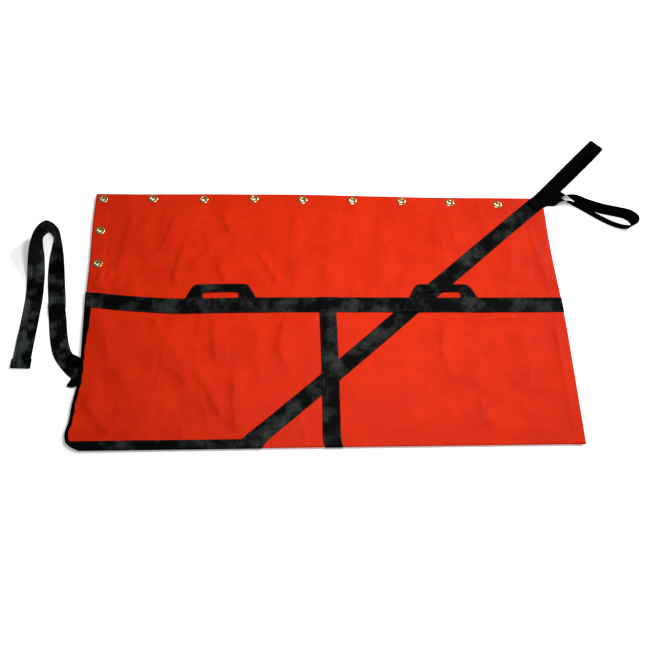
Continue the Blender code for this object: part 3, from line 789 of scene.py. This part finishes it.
def rows_between(start, end):
    """Rows of the cloth's grid between two distances from the fold, 5 mm apart."""
    return list(np.linspace(start, end, int(round(abs(end - start) / (5 * MM))) + 1))


OPEN_M = m_at(EDGE_Y)
SEAM_M = m_at(0.0)
fold_rows = list(np.linspace(-FOLD_ARC, FOLD_ARC, 9))
# the head end has more creases, so its columns are closer together
columns = np.concatenate([np.linspace(HEAD_X + 0.001, -0.1, 150)[:-1], np.linspace(-0.1, FOOT_X, 150)])


def edge_hem(x, y):
    """1 where the cloth is turned under as a hem along the open edge and the eyelet end."""
    open_edge = ease((y - (EDGE_Y - 0.0415)) / 0.003)
    head_end = ease(((HEAD_X + 0.0445) - x) / 0.003) * (y > 0.0)
    foot_end = ease((x - (FOOT_X - 0.038)) / 0.003)
    return np.maximum(np.maximum(open_edge, head_end), foot_end)


bed_rows = rows_between(-OPEN_M, -FOLD_ARC)[:-1] + fold_rows + rows_between(FOLD_ARC, SEAM_M)[1:]
bed_cloth = cloth_sheet("bed_cloth", columns, np.array(bed_rows), canvas, edge_hem)
flap_cloth = cloth_sheet("flap_cloth", columns, np.array(rows_between(SEAM_M, OPEN_M)), canvas, edge_hem)

def round_the_fold(piece):
    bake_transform(piece)


def over_the_flap_hinge(piece):
    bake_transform(piece)


def over_the_flap(piece, side):
    """A piece of one half that runs over its side flap: on the upper half its place is baked into its points,
    and on the lower half it is hung on the lower half's body.
    """
    if side > 0:
        over_the_flap_hinge(piece)
    else:
        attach(piece, "lower_half")


round_the_fold(bed_cloth)
over_the_flap_hinge(flap_cloth)
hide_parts("lower_bed_panel", "lower_side_flap", "lower_edge_hem", "lower_end_hem",
            "upper_bed_panel")
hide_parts("upper_side_flap", "upper_edge_hem", "upper_end_hem")


# ------------------------------------------------------------------------------ the webbing

def as_webbing(piece, *nodes):
    """A webbing piece that stands for the named solids."""
    if nodes:
        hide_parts(*nodes)
    return piece


for half, side in SIDES:
    ends = [(HEAD_X - 0.001, side * SEAM_M), (FOOT_X + 0.001, side * SEAM_M)]
    strap = strap_on_sheet(half + "_long_webbing", ends, over_everything, webbing)
    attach(as_webbing(strap, half + "_long_strap"), half + "_half")

# one cross strap, round the fold from under one long strap to under the other
cross_end = m_at(-0.004)
cross = strap_on_sheet("cross_webbing", [(0.0, -cross_end), (0.0, cross_end)], over_diagonal, webbing,
                       0.004)
round_the_fold(as_webbing(cross, "upper_cross_strap", "lower_cross_strap"))


def from_the_fold(x, m):
    """Cut the start of a diagonal along the edge of the fold, however wide it is there."""
    share = np.linspace(0, 1, len(x))[:, None]
    fold_m = np.sign(m[-1]) * FOLD_ARC
    fold_x = x[-1] - (np.abs(m[-1]) - FOLD_ARC) / math.tan(DIAGONAL_ANGLE)
    return fold_x + (x[-1] - fold_x) * share, fold_m + (m[-1] - fold_m) * share


def diagonal_line(side, start_y, end_y):
    """The middle of a diagonal strap between two heights on the sheet, as (x, m) ends."""
    return [(DIAGONAL_START_X + (y - FOLD_Y) / math.tan(DIAGONAL_ANGLE), side * m_at(y))
            for y in (start_y, end_y)]


# the lower diagonal stops short of its corner, to leave room for the loop that lies over its end
for half, side, short, nodes in (("lower", -1, 0.018, ["lower_diagonal_strap"]),
                                 ("upper", 1, 0.006, ["upper_diagonal_bed", "upper_diagonal_flap"])):
    diagonal = strap_on_sheet(half + "_diagonal_webbing", diagonal_line(side, FOLD_Y + 0.004, EDGE_Y - short),
                              over_centre, webbing, trim=from_the_fold)
    over_the_flap(as_webbing(diagonal, *nodes), side)

# the centre strap is folded round the fold line, half its width on each half
CENTRE_END = DIAGONAL_START_X + DIAGONAL_CUT - 0.003


def make_centre_strap():
    """Webbing folded along its length, with its foot end mitred to meet the two diagonals."""
    along = spread_route([(HEAD_X - 0.002, 0.0), (CENTRE_END, 0.0)], 0.006)[0][:, :1]
    edge_m = m_at(FOLD_Y + WEB_WIDTH / 2)
    across = np.concatenate([np.linspace(-edge_m, -FOLD_ARC, 6)[:-1], np.linspace(-FOLD_ARC, FOLD_ARC, 9),
                             np.linspace(FOLD_ARC, edge_m, 6)[1:]])
    top = np.full(len(across), WEB_THICK)
    top[[0, -1]] *= 0.6
    m = np.r_[across, across[::-1]]
    rise = CLEAR / 2 + np.r_[np.zeros(len(across)), top]
    share = ((along - HEAD_X) / (CENTRE_END - HEAD_X)).clip(0, 1)
    x = along + share ** 6 * (y_at(m) - FOLD_Y) / math.tan(DIAGONAL_ANGLE)
    return webbing_piece("centre_webbing", on_sheet(x, m, rise), webbing, x, m)


round_the_fold(as_webbing(make_centre_strap(), "upper_centre_strap", "lower_centre_strap"))

# binding tape folded round the head end of each half, from the centre strap to the long strap: its
# section as shares of its cover, further steps in, and rises
INNER_FACE = -CLOTH_THICK - CLEAR / 3
BINDING_SECTION = np.array([
    (1, 0, CLEAR / 3), (0.5, 0, CLEAR / 3), (0, 2 * MM, CLEAR / 3), (0, 0.6 * MM, -CLOTH_THICK / 2),
    (0, 2 * MM, INNER_FACE), (0.5, 0, INNER_FACE), (1, 0, INNER_FACE), (1, 0, INNER_FACE - 0.6 * MM),
    (0.5, 0, INNER_FACE - 0.7 * MM), (0, 1 * MM, INNER_FACE - 0.6 * MM), (0, -1.2 * MM, -0.6 * MM),
    (0, -1.4 * MM, 0.2 * MM), (0, -0.4 * MM, 1.1 * MM), (0, 2 * MM, 1.3 * MM), (0.5, 0, 1.25 * MM),
    (1, -1 * MM, 1.2 * MM), (1, 0, 0.8 * MM)])
tape_y = np.linspace(FOLD_Y + 0.020, 0.022, 76)[:, None]
# it covers 17.5 mm of the cloth, less towards the fold, with the small waver of hand guiding
tape_cover = 0.0175 - 0.0085 * ease((-0.05 - tape_y) / 0.10) + 0.8 * MM * np.sin(np.arange(76) * 0.9)[:, None]
for half, side in SIDES:
    inward = tape_cover * BINDING_SECTION[:, 0] + BINDING_SECTION[:, 1]
    m = side * m_at(np.broadcast_to(tape_y, inward.shape))
    points = on_sheet(HEAD_X + inward, m, BINDING_SECTION[:, 2])
    tape = webbing_piece(half + "_binding_tape", points, loop_webbing, m, inward)
    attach(as_webbing(tape, half + "_end_binding"), half + "_half")

# carry handles: one length of webbing each, folded in half along the grip and flat at its sewn ends.
# Each rung is the inner edge's place from the handle's middle and its Y, the outer edge's, and the
# thickness in millimetres.
HANDLE_RUNGS = [(-0.0845, -0.0235, -0.1365, -0.0235, 1.4), (-0.0525, 0.0247, -0.1040, 0.0247, 1.4),
                (-0.0525, 0.0340, -0.0975, 0.0385, 1.7), (-0.0522, 0.0395, -0.0895, 0.0540, 2.4),
                (-0.0500, 0.0428, -0.0805, 0.0668, 2.9), (-0.0450, 0.0436, -0.0725, 0.0702, 3.0),
                (-0.0300, 0.0437, -0.0400, 0.0708, 3.0), (0.0, 0.0438, 0.0, 0.0710, 3.0)]


def handle_rungs(middle, side):
    """Both mirrored ends of a handle, as rungs on one half of the sheet."""
    right = [(-ix, iy, -ox, oy, t) for ix, iy, ox, oy, t in HANDLE_RUNGS[:-1]][::-1]
    return [(middle + ix, side * m_at(iy), middle + ox, side * m_at(oy), t * MM)
            for ix, iy, ox, oy, t in HANDLE_RUNGS + right]


def bend_at_strap(piece):
    """A handle's grip: its place is baked into its points."""
    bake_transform(piece)


for half, side in SIDES:
    for end_name, middle in HANDLES.items():
        name = half + "_" + end_name + "_handle"
        grip = plate_on_sheet(name + "_webbing", handle_rungs(middle, side), over_diagonal, webbing)
        bend_at_strap(as_webbing(grip, name, name + "_end_a", name + "_end_b"))


# ------------------------------------------------------------------------------ corner loops

LOOP_ANGLE = math.radians(45.1)
loop_along = Vector((math.cos(LOOP_ANGLE), math.sin(LOOP_ANGLE), 0))
loop_across = Vector((-loop_along.y, loop_along.x, 0))
loop_root = Vector((FOOT_X + 0.0053, EDGE_Y + 0.0046, 0))
# (distance from the sheet's corner, height and sideways shift in mm) along the webbing, out and back
LOOP_KNOTS = [(-0.060, 13.25, 4.3), (-0.030, 13.3, 2.1), (0.0, 13.4, 0.2), (0.05, 13.4, 0.0),
              (0.12, 13.1, 0.3), (0.20, 12.9, 0.6), (0.27, 13.0, 0.6), (0.302, 12.9, 0.4),
              (0.3105, 12.2, 0.2), (0.3135, 10.9, -0.3), (0.3105, 9.6, -1.2), (0.302, 9.0, -2.0),
              (0.27, 8.9, -3.0), (0.20, 9.4, -3.4), (0.12, 9.9, -3.0), (0.05, 10.4, -1.6),
              (0.012, 10.7, -0.6)]


def make_corner_loop():
    """Webbing doubled on itself out along the diagonal's line, slightly cupped across its width."""
    route = smooth_route(LOOP_KNOTS, 8) * np.array([1, MM, MM])
    section = web_section(WEB_WIDTH, WEB_THICK, 13)
    rings = []
    for (s, z, shift), (us, uz) in zip(route, heading_of(route[:, :2])):
        middle = loop_root + loop_along * s + loop_across * shift + Vector((0, 0, z))
        out = Vector((0, 0, us)) - loop_along * uz
        rings.append([middle + loop_across * across
                      + out * (high - WEB_THICK - 0.6 * MM * (across / WEB_WIDTH * 2) ** 2)
                      for across, high in section])
    return webbing_piece("corner_loop_webbing", np.array(rings), loop_webbing,
                         run_of(route[:, :2])[:, None], np.array(section)[:, 0])


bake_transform(as_webbing(make_corner_loop(), "upper_corner_loop"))

# (X from the foot end, Y from the open edge, lift in mm, lean) along the loop that stands on edge
LOWER_LOOP_KNOTS = [(-0.018, -0.016, 1.7, 90), (0.010, 0.004, 1.7, 90), (0.032, 0.014, 1.7, 88),
                    (0.052, 0.018, 1.2, 82), (0.072, 0.015, 0.8, 50), (0.092, 0.006, 0.4, 26),
                    (0.112, -0.007, 0.4, 10), (0.132, -0.021, 0.4, 4), (0.178, -0.042, 0.4, -4),
                    (0.220, -0.053, 0.4, -5), (0.262, -0.064, 0.4, -6),
                    (0.283, -0.080, 0.4, -9), (0.286, -0.097, 0.4, -13), (0.272, -0.111, 0.4, -17),
                    (0.244, -0.113, 0.4, -20), (0.204, -0.098, 0.4, -22), (0.158, -0.068, 0.4, -22),
                    (0.120, -0.040, 0.4, -23), (0.092, -0.022, 0.4, -27), (0.068, -0.008, 0.4, -46),
                    (0.046, 0.001, 0.2, -84), (0.010, 0.001, 0.2, -90), (-0.018, -0.016, 0.2, -90)]


def route_from(corner_x, corner_y, knots):
    """A smooth (x, y, lift, lean) route from knots given from a corner, with lifts in mm."""
    return smooth_route([(corner_x + x, corner_y + y, lift * MM, lean) for x, y, lift, lean in knots], 6)


lower_loop = leaning_strap("lower_loop_webbing", route_from(FOOT_X, EDGE_Y, LOWER_LOOP_KNOTS),
                           loop_webbing, WEB_WIDTH - 2 * MM, 1.2 * MM)
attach(as_webbing(lower_loop, "lower_corner_loop", "lower_corner_loop_root"), "lower_corner_loop")


# -------------------------------------------------------------------------------- drag strap

# (X from the head end, Y from the fold, lift in mm, lean): from under the sheet, over a hump where
# it is bunched, out to the far bend and back to its sewn end
DRAG_KNOTS = [(0.100, 0.012, 0.3, 90), (0.104, 0.060, 0.3, 90), (0.090, 0.115, 0.3, 90),
              (0.060, 0.168, 0.3, 90), (0.020, 0.213, 0.3, 90), (-0.018, 0.250, 0.3, 90),
              (-0.045, 0.288, 0.3, 90), (-0.059, 0.335, 0.3, 90), (-0.069, 0.395, 0.4, 90),
              (-0.0725, 0.420, 5.0, 84), (-0.0750, 0.436, 1.6, 95), (-0.078, 0.460, 0.3, 90),
              (-0.087, 0.525, 0.3, 88), (-0.092, 0.590, 0.3, 70), (-0.095, 0.640, 0.3, 46),
              (-0.101, 0.675, 0.3, 28), (-0.126, 0.697, 0.3, 16), (-0.147, 0.677, 0.3, 12),
              (-0.152, 0.640, 0.3, 32), (-0.150, 0.590, 0.3, 62), (-0.146, 0.525, 0.3, 85),
              (-0.144, 0.460, 0.3, 90), (-0.148, 0.370, 0.3, 90), (-0.152, 0.300, 0.3, 90),
              (-0.154, 0.242, 0.3, 90)]
drag_route = route_from(HEAD_X, FOLD_Y, DRAG_KNOTS)
drag_strap = leaning_strap("drag_webbing", drag_route, drag_webbing)
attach(as_webbing(drag_strap, "drag_strap"), "lower_half")
end, before = Vector(drag_route[-1][:2]), Vector(drag_route[-7][:2])
back = (before - end).normalized()
# the last 0.12 m is turned back on itself, with a wider sewn fold at the very end
doubled = drag_route[-12:][::-1].copy()
doubled[:, 2] = 1.9 * MM
doubled[-2:, 2] = 1.6 * MM, 1.0 * MM
doubled_end = leaning_strap("drag_strap_doubled_end", doubled, drag_webbing)
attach(as_webbing(doubled_end), "lower_half")
hem_route = np.array([(*(end + back * s), lift * MM, 90) for s, lift in
                      ((-0.001, 3.6), (0.004, 3.9), (0.014, 3.9), (0.024, 3.8), (0.028, 3.6))])
drag_hem = leaning_strap("drag_strap_turned_end", hem_route, drag_webbing, WEB_WIDTH + 6 * MM)
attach(as_webbing(drag_hem, "drag_strap_hem"), "lower_half")

# the strap is bunched where it comes out from under the sheet: one pleat above it and one below,
# along (X from the head end, Y, lift in mm)
UPPER_PLEAT = [(-0.026, -0.160, 1.9), (-0.010, -0.168, 5.0), (0.0105, -0.178, 2.4)]
LOWER_PLEAT = [(-0.017, -0.236, 0.4), (-0.006, -0.240, 4.2), (0.0095, -0.232, 1.2)]
for name, width, knots in (("upper", 26 * MM, UPPER_PLEAT), ("lower", 27 * MM, LOWER_PLEAT)):
    bunch = route_from(HEAD_X, 0.0, [knot + (90,) for knot in knots])
    pleat = leaning_strap("drag_strap_" + name + "_pleat", bunch, loop_webbing, width, 2.6 * MM)
    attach(as_webbing(pleat), "lower_half")


# ---------------------------------------------------------------------------------- eyelets

# (radius, height) in mm round a pressed brass eyelet and its washer
EYELET_PROFILE = [(13.8, 0.1), (14.1, 0.5), (13.7, 1.0), (12.6, 1.45), (11.0, 1.75), (9.4, 1.8), (8.0, 1.6),
                  (7.0, 1.1), (6.5, 0.3), (6.35, -0.9), (6.5, -1.6), (7.2, -2.05), (8.2, -2.0), (9.0, -1.75),
                  (12.7, -1.6), (13.0, -1.35), (12.8, -1.1), (7.2, -1.05), (7.15, 0.0)]
for half, side in SIDES:
    for eyelet_name, (ex, ey) in EYELETS.items():
        name = half + "_" + eyelet_name
        ring = turned_ring(name + "_brass", [(r * MM, h * MM) for r, h in EYELET_PROFILE], 48, brass)
        ring.location = Vector(on_sheet([ex], [side * m_at(ey)], [HEM_THICK])[0])
        if side < 0:
            ring.rotation_euler.x = math.pi
        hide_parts(name)
        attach(ring, "upper_flap" if side > 0 else "lower_half")


# -------------------------------------------------------------------------------- stitching

FOOT_HEM_X = FOOT_X - 0.0355


def strap_top(rise_of):
    """The upper face of webbing that lies on all that rise_of gives."""
    return lambda x, y: rise_of(x, y) + WEB_THICK + CLEAR / 2


def hem_top(x, y):
    """The upper face of the hems."""
    return edge_hem(x, y) * HEM_THICK


def grip_top(x, y):
    """The upper face of a handle's folded grip."""
    return over_diagonal(x, y) + 2.9 * MM + CLEAR / 2


def hem_seams(side):
    """The seams of the hems over a side flap: two along the open edge, and one at each end."""
    head, foot = HEAD_X + 0.004, FOOT_X - 0.004
    inner, outer = side * m_at(EDGE_Y - 0.0395), side * m_at(EDGE_Y - 0.0030)
    return [[(head, inner), (foot, inner)], [(head, outer), (FOOT_X - 0.050, outer)],
            [(HEAD_X + 0.042, side * m_at(0.028)), (HEAD_X + 0.042, side * m_at(EDGE_Y - 0.042))],
            [(FOOT_HEM_X, side * m_at(0.028)), (FOOT_HEM_X, side * m_at(EDGE_Y - 0.075))]]


def grip_seams(middle, side):
    """Seams near both edges of a handle's grip."""
    rungs = handle_rungs(middle, side)[3:-3]
    return [[(a[0] + (a[2] - a[0]) * share, a[1] + (a[3] - a[1]) * share) for a in pair]
            for share in (0.10, 0.90) for pair in zip(rungs, rungs[1:])]


def box_seams(middle, side):
    """A crossed box through the long strap at each sewn end of a handle: its corners are given from
    the handle's middle, at the top and the bottom of the strap."""
    lines = []
    for way in (-1, 1):
        a, b, c, d = ((middle + way * x, side * m_at(y)) for x, y in
                      ((0.058, 0.019), (0.100, 0.019), (0.127, -0.019), (0.085, -0.019)))
        lines += [[a, b], [b, c], [c, d], [d, a], [a, c], [b, d]]
    return lines


for half, side in SIDES:
    sewn = half + "_half"
    long_line = [(HEAD_X + 0.004, side * SEAM_M), (FOOT_X - 0.004, side * SEAM_M)]
    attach(stitches(half + "_long_strap_stitches", both_edges(long_line), black_thread,
                     strap_top(over_everything)), sewn)
    over_the_flap(stitches(half + "_hem_stitches", hem_seams(side), red_thread, hem_top), side)
    bed_line = [(FOOT_HEM_X, side * m_at(FOLD_Y + 0.006)), (FOOT_HEM_X, side * m_at(-0.028))]
    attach(stitches(half + "_foot_hem_stitches", [bed_line], red_thread, hem_top), sewn)
    bridle_line = diagonal_line(side, FOLD_Y + 0.030, EDGE_Y - 0.006)
    over_the_flap(stitches(half + "_diagonal_stitches", both_edges(bridle_line), black_thread,
                           strap_top(on_cloth)), side)
    cross_line = [(0.0, side * m_at(FOLD_Y + 0.008)), (0.0, side * m_at(-0.027))]
    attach(stitches(half + "_cross_stitches", both_edges(cross_line), black_thread,
                     strap_top(over_diagonal)), sewn)
    centre_m = side * m_at(FOLD_Y + SEAM_OFFSET)
    centre_line = [(HEAD_X + 0.004, centre_m), (DIAGONAL_START_X - 0.030, centre_m)]
    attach(stitches(half + "_centre_stitches", [centre_line], black_thread, strap_top(on_cloth)), sewn)
    for end_name, middle in HANDLES.items():
        name = half + "_" + end_name + "_handle"
        bend_at_strap(stitches(name + "_stitches", grip_seams(middle, side), black_thread, grip_top))
        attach(stitches(name + "_box_stitches", box_seams(middle, side), black_thread,
                         strap_top(over_everything)), sewn)


# ------------------------------------------------------------------------ floor, light, camera

def make_floor():
    reach = 40.0
    mesh = bpy.data.meshes.new("studio_floor")
    mesh.from_pydata([(x * reach, y * reach, 0) for x, y in ((-1, -1), (1, -1), (1, 1), (-1, 1))], [],
                     [(0, 1, 2, 3)])
    mesh.materials.append(studio_paper())
    floor = bpy.data.objects.new("studio_floor", mesh)
    bpy.context.scene.collection.objects.link(floor)


def soft_box(name, place, target, size, power):
    """A square white studio light, size metres wide and power watts strong, aimed at a target."""
    light = bpy.data.lights.new(name, "AREA")
    light.shape = "RECTANGLE"
    light.size = light.size_y = size
    light.energy = power
    lamp = bpy.data.objects.new(name, light)
    lamp.location = place
    lamp.visible_camera = False
    lamp.rotation_euler = (Vector(target) - Vector(place)).to_track_quat("-Z", "Y").to_euler()
    bpy.context.scene.collection.objects.link(lamp)


make_floor()
# a strong light from the far foot corner, low enough to draw the creases, and a small one above the
# foot half of the bed, which is the brightest
soft_box("key_soft_box", (6.8, 4.8, 4.4), (0.0, 0.0, 0.0), 1.8, 1090)
soft_box("top_soft_box", (0.20, 0.02, 1.30), (0.20, 0.02, 0.0), 0.5, 19.5)
world = bpy.data.worlds.new("studio")
world.use_nodes = True
background = world.node_tree.nodes["Background"].inputs
background["Color"].default_value = (1, 1, 1, 1)
background["Strength"].default_value = 0.24
bpy.context.scene.world = world
bpy.context.scene.view_settings.view_transform = "Standard"


CAMERA_PLACE = (-0.1808, -1.1186, 2.1228)
CAMERA_HEADING, CAMERA_DOWN, CAMERA_ROLL = 9.26, 63.17, 8.18
CAMERA_LENS, CAMERA_FILM = 44.83, 36


def make_camera():
    """The camera of the main view: it looks down on the sheet from its fold side."""
    heading, down, roll = (math.radians(turn) for turn in (CAMERA_HEADING, CAMERA_DOWN, CAMERA_ROLL))
    look = Vector((math.sin(heading) * math.cos(down), math.cos(heading) * math.cos(down), -math.sin(down)))
    right = Vector((math.cos(heading), -math.sin(heading), 0))
    up = right.cross(look)
    axis_x = right * math.cos(roll) + up * math.sin(roll)
    axis_y = up * math.cos(roll) - right * math.sin(roll)
    data = bpy.data.cameras.new("main_camera")
    data.lens = CAMERA_LENS
    data.sensor_width = CAMERA_FILM
    camera = bpy.data.objects.new("main_camera", data)
    turned = camera.matrix_world.to_3x3()
    turned.col[0], turned.col[1], turned.col[2] = axis_x, axis_y, -look
    camera.matrix_world = turned.to_4x4()
    camera.location = CAMERA_PLACE
    bpy.context.scene.collection.objects.link(camera)
    bpy.context.scene.camera = camera


make_camera()
